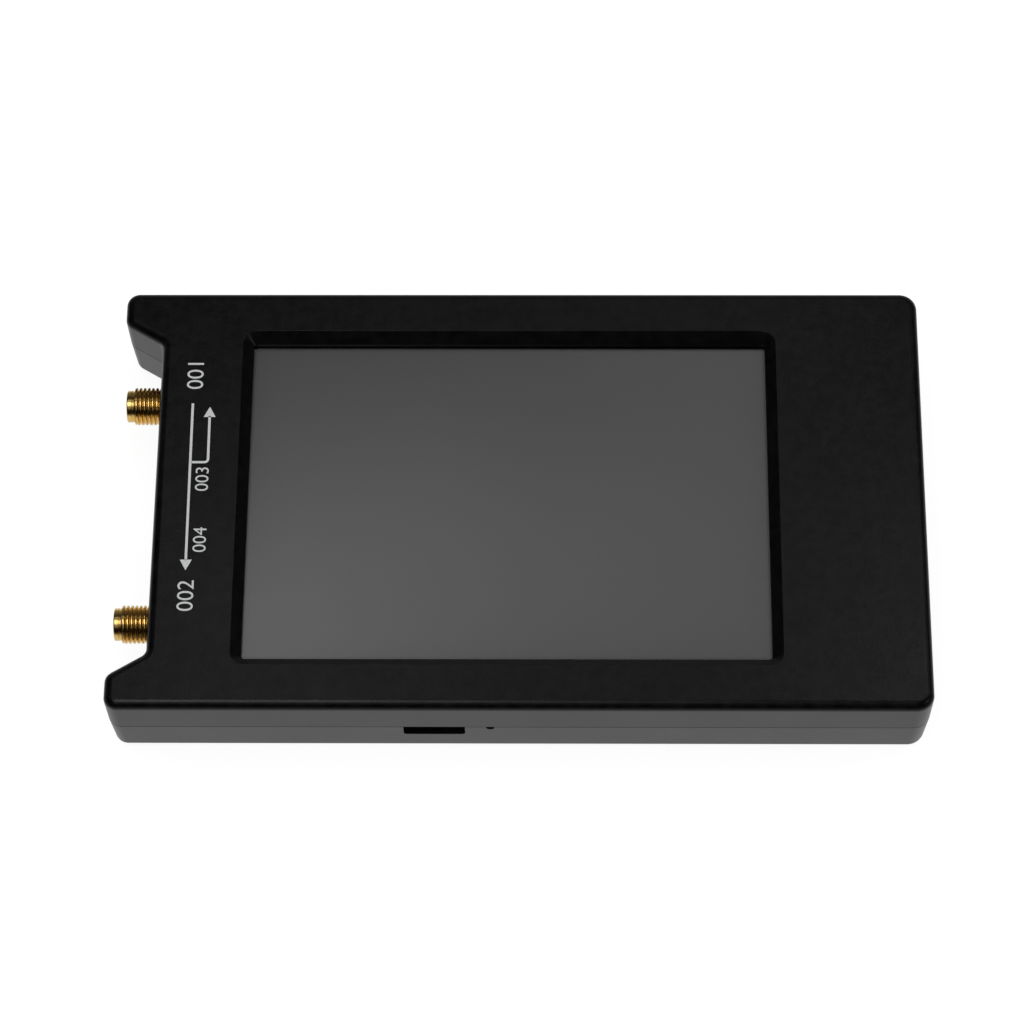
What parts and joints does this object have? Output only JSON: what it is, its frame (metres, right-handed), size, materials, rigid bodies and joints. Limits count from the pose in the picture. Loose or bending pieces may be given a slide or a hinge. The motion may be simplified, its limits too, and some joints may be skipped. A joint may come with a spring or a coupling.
{
  "type": "handheld antenna analyzer",
  "caption": "Slim black handheld radio test instrument: screen in a bevelled window, gold threaded coaxial jacks between two ears, USB socket, slide switch and rocking push lever on the rim.",
  "frame": {"origin": "centre of the flat underside that the case lies on", "axes": "+X along the case, away from the two coaxial jacks; +Y towards the side with the two switches; +Z out of the screen"},
  "size_m": [0.1352, 0.0793, 0.017],
  "materials": {
    "case_abs": "fine moulded grain, matt",
    "touch_glass": "grey screen that is switched off, behind a matt film",
    "lcd_glass": "smooth",
    "foam": "closed-cell foam",
    "sheet_steel": "tinned sheet steel",
    "gold_plate": "gold-plated brass, turned",
    "ptfe": "waxy white",
    "board": "solder mask over glass fibre",
    "chip_epoxy": "moulded epoxy",
    "ceramic": "fired ceramic",
    "ferrite": "sintered",
    "flex_film": "polyimide film",
    "nylon": "natural nylon",
    "switch_nylon": "black glass-filled nylon",
    "spring_steel": "bright spring steel",
    "screw_steel": "black zinc plate",
    "light_lens": "clear epoxy over a white base",
    "pouch_foil": "laminated foil",
    "tape": "double-sided tape",
    "lead_jacket": "PVC insulation"
  },
  "bodies": {
    "root": {"front_shell": "case_abs", "rear_shell": "case_abs", "case_screws": "screw_steel", "window_gasket": "foam", "touch_panel": "touch_glass", "lcd_panel": "lcd_glass", "backlight_tray": "sheet_steel", "display_pads": "foam", "lcd_flex": "flex_film", "lcd_socket": "nylon", "touch_flex": "flex_film", "touch_socket": "nylon", "main_board": "board", "jack_0_body": "gold_plate", "jack_0_insulator": "ptfe", "jack_0_contact": "gold_plate", "jack_1_body": "gold_plate", "jack_1_insulator": "ptfe", "jack_1_contact": "gold_plate", "shield_frame": "sheet_steel", "shield_lid": "sheet_steel", "mixer_chips": "chip_epoxy", "codec_chip": "chip_epoxy", "clock_chip": "chip_epoxy", "reference_oscillator": "sheet_steel", "processor": "chip_epoxy", "power_chip": "chip_epoxy", "power_inductor": "ferrite", "regulators": "chip_epoxy", "small_parts": "ceramic", "usb_shell": "sheet_steel", "usb_tongue": "switch_nylon", "charge_light": "light_lens", "power_switch_frame": "sheet_steel", "power_switch_base": "switch_nylon", "jog_housing": "switch_nylon", "jog_cover": "sheet_steel", "jog_dome": "spring_steel", "battery_cell": "pouch_foil", "battery_tape": "tape", "battery_guard": "board", "battery_plug": "nylon", "battery_header": "nylon", "battery_leads": "lead_jacket"},
    "power_slider": {"power_slider": "switch_nylon"},
    "jog_carriage": {"jog_carriage": "switch_nylon"},
    "jog_lever": {"jog_lever": "switch_nylon"}
  },
  "joints": [
    {"name": "power_slide", "type": "slide", "parent": "root", "child": "power_slider", "axis": [1, 0, 0], "range_m": [0, 0.002]},
    {"name": "jog_push", "type": "slide", "parent": "root", "child": "jog_carriage", "axis": [0, -1, 0], "range_m": [0, 0.0004], "stiffness_N_per_m": 800},
    {"name": "jog_rock", "type": "hinge", "parent": "jog_carriage", "child": "jog_lever", "pos_m": [0.02, 0.0341, 0.0071], "axis": [0, 0, 1], "range_deg": [-12, 12], "stiffness_Nm_per_rad": 0.02}
  ]
}
